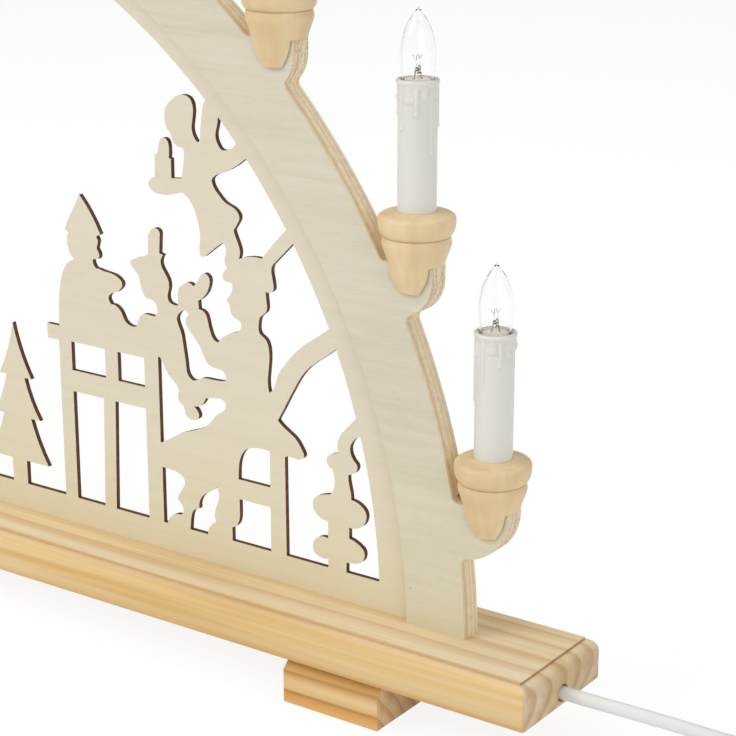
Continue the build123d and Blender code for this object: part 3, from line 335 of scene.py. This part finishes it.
def plied_edge(plies, tones):
    """A sawn cut that shows the plies, which are given by their front face and thickness.

    The tones are two for the plies, one for the glue, and one for the specks on cuts across the grain.
    """
    start, thickness = plies
    pale, brown, glue, speck = tones

    def cut_edge(graph, fibre, across, facing_up):
        """The colour of the cut."""
        depth = graph.maths("DIVIDE", graph.maths("SUBTRACT", across, start), thickness)
        odd = graph.maths("MODULO", graph.maths("ABSOLUTE", graph.maths("FLOOR", depth)), 2.0)
        line = graph.maths("LESS_THAN", graph.maths("FRACT", depth), GLUE_LINE_WIDTH)
        edge = graph.blend(graph.times(line, GLUE_SHARE), graph.blend(odd, pale, brown), glue)
        edge = graph.mark(edge, fibre, *ROUGH_CUT)
        # Across the grain, as under the arms, the cut is rough and speckled
        under = graph.ramp(facing_up, UNDER_STOPS, smooth=False)
        dots = graph.noise((1500, 1900, 1500), detail=2.0, rough=0.6)
        bands = graph.noise((60, 900, 60), detail=2.0)
        grain = graph.plus(graph.times(dots, 0.6), graph.times(bands, 0.4))
        speckled = graph.ramp(grain, list(zip(SPECK_PLACES, (speck, pale))))
        joint_line = graph.maths("LESS_THAN", graph.off(across, LAYER_JOINT), JOINT_HALF_WIDTH)
        speckled = graph.blend(graph.times(joint_line, GLUE_SHARE), speckled, glue)
        return graph.blend(under, edge, speckled)

    return cut_edge


CUP_LIGHT = (0.855, 0.670, 0.395, 1)
CUP_WARM = (0.765, 0.55, 0.295, 1)
CUP_STOPS = [(0.32, grey(0)), (0.70, grey(0.9))]
CUP_GRAIN = (0.5, [(0.30, grey(0.93)), (0.7, grey(1.02))])
# Painted shade in the cup's groove: its ramp, colour and strength
GROOVE_SHADE_STOPS = [(0.004, grey(1)), (0.016, grey(0))]
GROOVE_SHADE_COLOUR = (0.33, 0.19, 0.08, 1)
GROOVE_SHARE = 0.55


def turned_wood(name):
    """Turned wood: soft straight grain along Z, faint tool marks, and painted shade as a dark line in the
    groove.
    """
    graph = new_graph(name)
    grain = graph.noise((420, 420, 26), detail=3.0, rough=0.55)
    slow = graph.noise((90, 90, 9), detail=2.0, rough=0.5, distortion=0.4)
    marks = graph.noise((2, 2, 1500), detail=1.0)
    colour = graph.blend(graph.ramp(slow, CUP_STOPS), CUP_LIGHT, CUP_WARM)
    colour = graph.mark(colour, grain, *CUP_GRAIN)
    _, _, height_share = graph.split(graph.node("TexCoord").outputs["Generated"])
    # Painted shade: a dark line along the groove's height
    groove = graph.ramp(graph.off(height_share, CUP_GROOVE_SHARE), GROOVE_SHADE_STOPS)
    colour = graph.blend(graph.times(groove, GROOVE_SHARE), colour, GROOVE_SHADE_COLOUR)
    height = graph.plus(grain, graph.times(marks, 0.6))
    return graph.surface(colour, 0.38, height, strength=0.10, distance=0.0001, Specular_IOR_Level=0.42)


SKIN_TONE_STOPS = [(0.35, grey(0)), (0.7, grey(1))]


def plastic(name, colour, rough, grain=900.0, strength=0.06, **values):
    """Moulded plastic with a faint uneven skin."""
    graph = new_graph(name)
    skin = graph.noise((grain, grain, grain), detail=2.0)
    tone = graph.noise((60, 60, 60), detail=2.0)
    shade = graph.blend(graph.ramp(tone, SKIN_TONE_STOPS), colour, scaled(colour, 0.965))
    gloss = graph.plus(graph.times(skin, 0.08), rough)
    return graph.surface(shade, gloss, skin, strength=strength, distance=0.0001, **values)


def metal(name, colour, rough, stretch=(60, 60, 1400)):
    """Bare metal with fine drawn marks."""
    graph = new_graph(name)
    marks = graph.noise(stretch, detail=3.0, rough=0.6)
    shade = graph.blend(marks, colour, scaled(colour, 0.86))
    gloss = graph.plus(graph.times(marks, 0.14), rough)
    return graph.surface(shade, gloss, marks, strength=0.08, distance=0.00005, Metallic=1.0)


def clear_glass(name):
    """Thin clear glass."""
    graph = new_graph(name)
    waves = graph.noise((140, 140, 60), detail=1.0, rough=0.4)
    return graph.surface(
        grey(1.0), 0.0, waves, strength=0.03, distance=0.0002, Transmission_Weight=1.0, IOR=1.45,
    )


boards = pine(
    "pine_board", slant=0, bow=(0.0295, 80), spacing=0.0098, seed=1.7,
    tones=(
        (0.905, 0.775, 0.545, 1), (0.68, 0.43, 0.205, 1), (0.915, 0.82, 0.645, 1), (0.85, 0.825, 0.81, 1),
    ),
    bands=[
        (0.45, (0.95, 0.84, 0.62, 1)), (0.485, (1.0, 0.98, 0.92, 1)), (0.60, (1.0, 1.0, 1.0, 1)),
        (0.66, (1.0, 0.96, 0.87, 1)), (0.71, (1.0, 0.91, 0.75, 1)), (0.76, (1.03, 1.02, 1.0, 1)),
        (0.82, (1.01, 0.96, 0.86, 1)), (0.88, (1.0, 0.92, 0.78, 1)),
    ],
)
feet = pine(
    "pine_foot", slant=radians(45), bow=(0.010, 12), spacing=0.0056, seed=4.1,
    tones=((0.84, 0.66, 0.42, 1), (0.58, 0.33, 0.14, 1), (1.0, 0.93, 0.76, 1), (1.10, 1.02, 0.94, 1)),
    # The darker bands from 0.325 up are painted shadow of the board on the feet's bevel
    bands=[
        (0.02, (1.0, 0.84, 0.62, 1)), (0.095, (0.98, 0.80, 0.58, 1)), (0.118, (0.80, 0.66, 0.46, 1)),
        (0.14, (1.0, 0.98, 0.92, 1)), (0.22, (1.06, 1.06, 1.10, 1)), (0.29, (0.98, 0.93, 0.84, 1)),
        (0.325, (0.80, 0.69, 0.52, 1)), (0.345, (0.86, 0.70, 0.47, 1)), (0.44, (0.90, 0.72, 0.48, 1)),
    ],
)
arch_face = (0.745, 0.697, 0.566, 1)
arch_dark = (0.690, 0.632, 0.495, 1)
glue_and_speck = ((0.36, 0.215, 0.11, 1), (0.585, 0.435, 0.27, 1))
front_tones = ((0.87, 0.73, 0.50, 1), (0.76, 0.585, 0.36, 1), *glue_and_speck)
rear_tones = ((0.94, 0.81, 0.58, 1), (0.855, 0.69, 0.45, 1), *glue_and_speck)
front_plies = plywood("plywood_front", arch_face, arch_dark, plied_edge(FRONT_PLIES, front_tones))
rear_plies = plywood("plywood_rear", arch_face, arch_dark, plied_edge(REAR_PLIES, rear_tones))
panel_plies = plywood(
    "plywood_panel", (0.790, 0.722, 0.575, 1), (0.755, 0.680, 0.530, 1), burnt_edge, PANEL_CALM,
)
cup_wood = turned_wood("turned_wood")
candle = plastic(
    "candle_plastic", (0.80, 0.778, 0.722, 1), rough=0.26, grain=500.0, strength=0.05,
    Subsurface_Weight=0.25, Subsurface_Radius=(0.004, 0.0035, 0.003), Subsurface_Scale=0.4, Coat_Weight=0.2,
)
glass = clear_glass("bulb_glass")
bead_glass = clear_glass("bead_glass")
cap_metal = metal("bulb_cap_metal", (0.86, 0.80, 0.62, 1), rough=0.42)
socket_plastic = plastic("socket_plastic", (0.80, 0.76, 0.64, 1), rough=0.45)
cord_plastic = plastic("cord_plastic", (0.83, 0.84, 0.815, 1), rough=0.38, grain=700.0, strength=0.05)
plug_plastic = plastic("plug_plastic", (0.83, 0.84, 0.815, 1), rough=0.42, grain=1500.0, strength=0.12)
wire_plastic = plastic("wire_plastic", (0.75, 0.75, 0.70, 1), rough=0.45)
tie_plastic = plastic("tie_plastic", (0.80, 0.80, 0.78, 1), rough=0.5)
brown_plastic = plastic("brown_plastic", (0.22, 0.13, 0.075, 1), rough=0.5, grain=1200.0, strength=0.15)
nickel = metal("nickel", (0.78, 0.77, 0.74, 1), rough=0.16, stretch=(1400, 60, 60))
zinc = metal("zinc_steel", (0.62, 0.64, 0.66, 1), rough=0.34, stretch=(900, 900, 60))
seat_plastic = plastic("seat_plastic", (0.84, 0.79, 0.65, 1), rough=0.5)
post_wire = metal("post_wire", (0.42, 0.30, 0.18, 1), rough=0.45)
support_wire = metal("support_wire", (0.20, 0.20, 0.145, 1), rough=0.50)
tungsten = metal("tungsten", (0.20, 0.19, 0.17, 1), rough=0.45)


def dress(name, material):
    """Gives a CAD node its material."""
    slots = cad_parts[name].data.materials
    slots.clear()
    slots.append(material)


for name, material in (
    ("base_board", boards), ("foot_left", feet), ("foot_right", feet), ("front_arch", front_plies),
    ("rear_arch", rear_plies), ("scene_panel", panel_plies), ("pocket_cover", brown_plastic),
    ("cord_clamp", brown_plastic), ("foot_screws", zinc), ("cover_screws", zinc), ("clamp_screws", zinc),
    ("lamp_sockets", socket_plastic), ("feed_wire", wire_plastic), ("lamp_wires", wire_plastic),
    ("plug_body", plug_plastic), ("plug_pins", nickel), ("coil_tie", tie_plastic),
):
    dress(name, material)
for lamp in LAMPS:
    dress(f"candle_cup_{lamp}", cup_wood)
    dress(f"candle_sleeve_{lamp}", candle)
    dress(f"bulb_glass_{lamp}", glass)
    dress(f"bulb_cap_{lamp}", cap_metal)


# Camera, at the photograph's angle: place in metres, angles in degrees, lens and sensor in millimetres

CAMERA_PLACE = (0.6573, -0.5894, 0.3606)
CAMERA_TILT = 72.14
CAMERA_HEADING = 34.88
LENS = 102.35
SENSOR = 36

camera = bpy.data.objects.new("camera", bpy.data.cameras.new("camera"))
bpy.context.collection.objects.link(camera)
camera.location = CAMERA_PLACE
camera.rotation_euler = (radians(CAMERA_TILT), 0, radians(CAMERA_HEADING))
camera.data.sensor_width = SENSOR
camera.data.lens = LENS
camera.data.clip_start = 0.02
camera.data.clip_end = 20
bpy.context.scene.camera = camera


# Mains cord: one smooth line from the board's bore, through the coil, to the plug, in millimetres

BOARD_END = 330.6
CORD_DIAMETER = 5.0
# Heights of the cord in the bore, in the coil's lower and upper layers, and at the plug
CORD_Z = 23.6
STRAND_Z = 4.1
UPPER_Z = 9.7
PLUG_Z = 6.95
# The coil: its outer radius, what each turn takes off that, the turns in a layer and in the climb between
# layers, and the points of a turn
COIL_RADIUS = 36.0
COIL_PITCH = 5.8
COIL_TURNS = 3.25
COIL_CLIMB = 0.5
COIL_POINTS = 16
COIL_CENTRE = (BOARD_END + 145, 11.0)
# Where the cord meets the coil and where the plug lies, along Y
COIL_SIDE_Y = 47
PLUG_Y = 30


def coil_point(turn):
    """Point on the coil after so many turns: in on the table, up, and out on top."""
    inner = COIL_RADIUS - COIL_PITCH * COIL_TURNS
    climb = (turn - COIL_TURNS) / COIL_CLIMB
    if climb <= 0:
        radius, height = COIL_RADIUS - COIL_PITCH * turn, STRAND_Z
    elif climb < 1:
        radius = inner - COIL_PITCH * COIL_CLIMB * (climb - climb**2)
        height = STRAND_Z + (UPPER_Z - STRAND_Z) * (3 * climb**2 - 2 * climb**3)
    else:
        radius, height = inner + COIL_PITCH * (turn - COIL_TURNS - COIL_CLIMB), UPPER_Z
    # The smooth line runs inside its control points by this share
    radius /= cos(pi / COIL_POINTS)
    angle = pi / 2 - 2 * pi * turn
    return (COIL_CENTRE[0] + radius * cos(angle), COIL_CENTRE[1] + radius * sin(angle), height)


def cord_points():
    """The cord's control points. Those before and after the coil are measured from the board's end."""
    down = [
        (-28, 0, CORD_Z), (4, 0, CORD_Z), (36, 6.5, 20.5), (64, 19, 13), (89, 34, 7),
        (115, COIL_SIDE_Y, STRAND_Z), (140, COIL_SIDE_Y, STRAND_Z),
    ]
    away = [
        (150, COIL_SIDE_Y, UPPER_Z), (170, COIL_SIDE_Y, UPPER_Z), (190, 42, 6.9), (210, 34, 5.2),
        (230, PLUG_Y, PLUG_Z), (250, PLUG_Y, PLUG_Z),
    ]
    turns = 2 * COIL_TURNS + COIL_CLIMB
    steps = round(turns * COIL_POINTS)
    coil = [coil_point(turns * step / steps) for step in range(steps + 1)]
    down, away = [[(BOARD_END + x, y, z) for x, y, z in run] for run in (down, away)]
    return down + coil + away


def line_curve(name, points, radius, material):
    """A round tube along a smooth line through its control points."""
    data = bpy.data.curves.new(name, "CURVE")
    data.dimensions = "3D"
    spline = data.splines.new("NURBS")
    spline.points.add(len(points) - 1)
    for target, point in zip(spline.points, points):
        target.co = (*[value * MM for value in point], 1)
    spline.order_u = 3
    spline.use_endpoint_u = True
    spline.resolution_u = 8
    data.bevel_depth = radius * MM
    data.bevel_resolution = 6
    data.use_fill_caps = True
    data.materials.append(material)
    piece = bpy.data.objects.new(name, data)
    bpy.context.collection.objects.link(piece)
    return piece


def line_length(points):
    """The length in metres of a smooth line through the points, read from a copy without thickness."""
    probe = line_curve("probe", points, 0, cord_plastic)
    mesh = bpy.data.meshes.new_from_object(probe)
    ends = [[mesh.vertices[number].co for number in edge.vertices] for edge in mesh.edges]
    total = sum((first - second).length for first, second in ends)
    bpy.data.objects.remove(probe)
    bpy.data.meshes.remove(mesh)
    return total


cord_line = cord_points()
mains_cord = line_curve("mains_cord", cord_line, CORD_DIAMETER / 2, cord_plastic)
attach(mains_cord, ARCH)
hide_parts("mains_cable", "cable_coil", "plug_lead")
round(line_length(cord_line), 3)


# Insides of the lamps

def circle(sides):
    """The corners of a circle of radius one."""
    return [(cos(2 * pi * k / sides), sin(2 * pi * k / sides)) for k in range(sides)]


def join_rings(mesh, rings):
    """Faces between rings of corners, and over both ends."""
    for low, high in zip(rings, rings[1:]):
        for k in range(len(low)):
            after = (k + 1) % len(low)
            mesh.faces.new((low[k], low[after], high[after], high[k]))
    mesh.faces.new(list(reversed(rings[0])))
    mesh.faces.new(rings[-1])


def add_tube(mesh, points, radius, sides=8):
    """A round tube along straight runs, with closed ends."""
    rings = []
    side = None
    for number, point in enumerate(points):
        before = Vector(points[max(number - 1, 0)])
        after = Vector(points[min(number + 1, len(points) - 1)])
        way = (after - before).normalized()
        side = way.orthogonal().normalized() if side is None else side - way * side.dot(way)
        side.normalize()
        up = way.cross(side)
        middle = Vector(point)
        rings.append([mesh.verts.new(middle + (side * x + up * y) * radius) for x, y in circle(sides)])
    join_rings(mesh, rings)


def add_turned(mesh, profile, sides=24):
    """A turned form about Z from its radius and height pairs, closed at both ends."""
    rings = []
    for radius, height in profile:
        rings.append([mesh.verts.new((radius * x, radius * y, height)) for x, y in circle(sides)])
    join_rings(mesh, rings)


def add_ring(mesh, profile, sides=32):
    """A closed ring about Z from its section's radius and height pairs."""
    columns = []
    for x, y in circle(sides):
        columns.append([mesh.verts.new((radius * x, radius * y, height)) for radius, height in profile])
    for k, here in enumerate(columns):
        there = columns[(k + 1) % sides]
        for n in range(len(profile)):
            after = (n + 1) % len(profile)
            mesh.faces.new((here[n], there[n], there[after], here[after]))


def mesh_piece(name, mesh, material, body, at):
    """Turns a mesh in millimetres into a smooth piece at its place."""
    mesh.normal_update()
    data = bpy.data.meshes.new(name)
    for vertex in mesh.verts:
        vertex.co = (vertex.co + Vector(at)) * MM
    mesh.to_mesh(data)
    mesh.free()
    for face in data.polygons:
        face.use_smooth = True
    data.materials.append(material)
    piece = bpy.data.objects.new(name, data)
    bpy.context.collection.objects.link(piece)
    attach(piece, body)


# Turned forms as radius and height pairs in millimetres over the glass's foot
SEAT = [(4.2, 1.9), (4.7, 2.1), (4.85, 2.35), (4.6, 2.55), (1.6, 2.6)]
BEAD = [(0.2, 4.3), (0.75, 4.6), (0.85, 5.2), (0.6, 6.2), (0.2, 6.6)]
# The lip's section as radius and depth under the sleeve's rim
LIP = [(5.8, 0.5), (6.24, 0.2), (6.24, 1.0), (5.8, 1.0)]
# A post's line as reach and height, and the wires' radii
POST = [(1.45, 2.5), (1.15, 3.4), (1.0, 5.0)]
POST_RADIUS = 0.20
CLUSTER_RADIUS = 0.12
LEAD_RADIUS = 0.035
CLAMP_RADIUS = 0.12
LOOP_RADIUS = 0.11
LOOP_END_RADIUS = 0.04
# The cluster: a wire that winds round the bead, narrowing as it rises, with waves up and down
CLUSTER_STEPS = 60
CLUSTER_TURNS = 3.5
CLUSTER_FOOT = 4.7
CLUSTER_HEIGHT = 2.5
CLUSTER_REACH = 1.15
CLUSTER_TAPER = 0.35
CLUSTER_DEPTH = 0.5
CLUSTER_DEPTH_RATE = 1.6
CLUSTER_WAVE = 0.25
CLUSTER_WAVE_RATE = 2.3
# The filament: two leads with a bend, a clamp at the top of each, and the loop that they hold
LEADS = (((-0.5, 0, 7.0), (-1.7, 0, 10.4)), ((0.5, 0, 7.0), (1.3, 0, 10.5)))
LEAD_BEND_REACH = 1.3
LEAD_BEND_Z = 8.4
CLAMP_HEIGHT = 0.3
LOOP = [
    (-0.5, 0, 8.9), (-0.55, 0.1, 10.0), (-0.3, 0.1, 10.7),
    (0.1, 0.1, 10.75), (0.4, 0.1, 10.1), (0.45, 0, 9.5),
]
# The way a lamp's inside faces, and how far that differs from lamp to lamp, in degrees
LAMP_HEADING = 35
LAMP_HEADING_SPREAD = 14


def cluster_points():
    """The line of the wire cluster."""
    points = []
    for step in range(CLUSTER_STEPS + 1):
        share = step / CLUSTER_STEPS
        swing = 2 * pi * CLUSTER_TURNS * share
        reach = CLUSTER_REACH - CLUSTER_TAPER * share
        height = CLUSTER_FOOT + CLUSTER_HEIGHT * share + CLUSTER_WAVE * sin(CLUSTER_WAVE_RATE * swing)
        points.append((reach * sin(swing), CLUSTER_DEPTH * cos(CLUSTER_DEPTH_RATE * swing), height))
    return points


def lamp_inside(lamp):
    """What shows inside one lamp and its sleeve's mouth, turned to face the front right."""
    low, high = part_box(f"bulb_glass_{lamp}")
    at = ((low[0] + high[0]) / 2 / MM, (low[1] + high[1]) / 2 / MM, low[2] / MM)
    body = f"bulb_{lamp}"
    turn = radians(LAMP_HEADING + LAMP_HEADING_SPREAD * sin(2 * lamp - 2))

    def turned(points):
        """The points turned about the lamp's axis."""
        return [(x * cos(turn) - y * sin(turn), x * sin(turn) + y * cos(turn), z) for x, y, z in points]

    seat = bmesh.new()
    add_turned(seat, SEAT)
    mesh_piece(f"bulb_seat_{lamp}", seat, seat_plastic, body, at)
    posts = bmesh.new()
    for side in (-1, 1):
        add_tube(posts, turned([(side * x, 0, z) for x, z in POST]), POST_RADIUS)
    mesh_piece(f"bulb_posts_{lamp}", posts, post_wire, body, at)
    cluster = bmesh.new()
    add_tube(cluster, turned(cluster_points()), CLUSTER_RADIUS, 6)
    mesh_piece(f"bulb_cluster_{lamp}", cluster, support_wire, body, at)
    bead = bmesh.new()
    add_turned(bead, BEAD, 16)
    mesh_piece(f"bulb_bead_{lamp}", bead, bead_glass, body, at)
    filament = bmesh.new()
    for near, far in LEADS:
        bend = (near[0] * LEAD_BEND_REACH, 0, LEAD_BEND_Z)
        add_tube(filament, turned([near, bend, far]), LEAD_RADIUS, 6)
        add_tube(filament, turned([far, (far[0], 0, far[2] + CLAMP_HEIGHT)]), CLAMP_RADIUS, 6)
    add_tube(filament, turned(LOOP), LOOP_RADIUS, 6)
    for near, (_, far) in zip((LOOP[0], LOOP[-1]), LEADS):
        add_tube(filament, turned([near, far]), LOOP_END_RADIUS, 6)
    mesh_piece(f"bulb_filament_{lamp}", filament, tungsten, body, at)
    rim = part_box(f"candle_sleeve_{lamp}")[1][2] / MM - at[2]
    lip = bmesh.new()
    add_ring(lip, [(radius, rim - depth) for radius, depth in LIP])
    mesh_piece(f"sleeve_lip_{lamp}", lip, seat_plastic, ARCH, at)


for lamp in LAMPS:
    lamp_inside(lamp)


# Floor, surround and light

FLOOR_REACH = 6
FLOOR_GREY = 0.90
# The floor's own brightness to the camera, and its share beside the lit floor, which keeps the shadow
FLOOR_GLOW = 1.08
FLOOR_GLOW_SHARE = 0.80
WORLD_LIGHT = 0.365
LIGHT_AIM = (0.1, 0, 0.15)
# Each light's name, place, size in metres and power in watts
STUDIO_LIGHTS = (
    ("key", (-0.9, -1.5, 1.5), 1.2, 22.6),
    ("fill", (1.9, -0.9, 0.9), 1.4, 12.2),
    ("top", (0.2, 0.3, 2.1), 1.6, 10.4),
)


def floor_material():
    """Matt white floor that shows as white to the camera and keeps a soft shadow."""
    graph = new_graph("stage_white")
    rays = graph.node("LightPath").outputs
    matt = graph.node("BsdfDiffuse", Color=grey(FLOOR_GREY))
    bright = graph.node("Emission", Color=grey(1), Strength=FLOOR_GLOW)
    seen = graph.maths("MAXIMUM", rays["Is Camera Ray"], rays["Is Glossy Ray"])
    seen = graph.maths("MAXIMUM", seen, rays["Is Transmission Ray"])
    return graph.mix_surfaces(graph.times(seen, FLOOR_GLOW_SHARE), matt, bright, "OutputMaterial")


def floor():
    """A large flat floor."""
    mesh = bmesh.new()
    corners = ((-1, -1), (1, -1), (1, 1), (-1, 1))
    mesh.faces.new([mesh.verts.new((x * FLOOR_REACH, y * FLOOR_REACH, 0)) for x, y in corners])
    data = bpy.data.meshes.new("floor")
    mesh.to_mesh(data)
    mesh.free()
    data.materials.append(floor_material())
    made = bpy.data.objects.new("floor", data)
    bpy.context.collection.objects.link(made)


def studio_light(name, place, size, power):
    """A soft square lamp that points at the part."""
    data = bpy.data.lights.new(name, "AREA")
    data.shape = "SQUARE"
    data.size = size
    data.energy = power
    made = bpy.data.objects.new(name, data)
    made.location = place
    made.rotation_euler = (Vector(LIGHT_AIM) - Vector(place)).to_track_quat("-Z", "Y").to_euler()
    bpy.context.collection.objects.link(made)


def studio_world():
    """A plain pale surround: it lights softly, and is white where the camera sees it."""
    world = bpy.data.worlds.new("studio")
    bpy.context.scene.world = world
    graph = Graph(world)
    rays = graph.node("LightPath").outputs
    soft = graph.node("Background", Color=grey(1), Strength=WORLD_LIGHT)
    bright = graph.node("Background", Color=grey(1), Strength=1.0)
    seen = graph.maths("MAXIMUM", rays["Is Camera Ray"], rays["Is Transmission Ray"])
    graph.mix_surfaces(seen, soft, bright, "OutputWorld")


floor()
studio_world()
for name, place, size, power in STUDIO_LIGHTS:
    studio_light(name, place, size, power)
bpy.context.scene.view_settings.view_transform = "Standard"
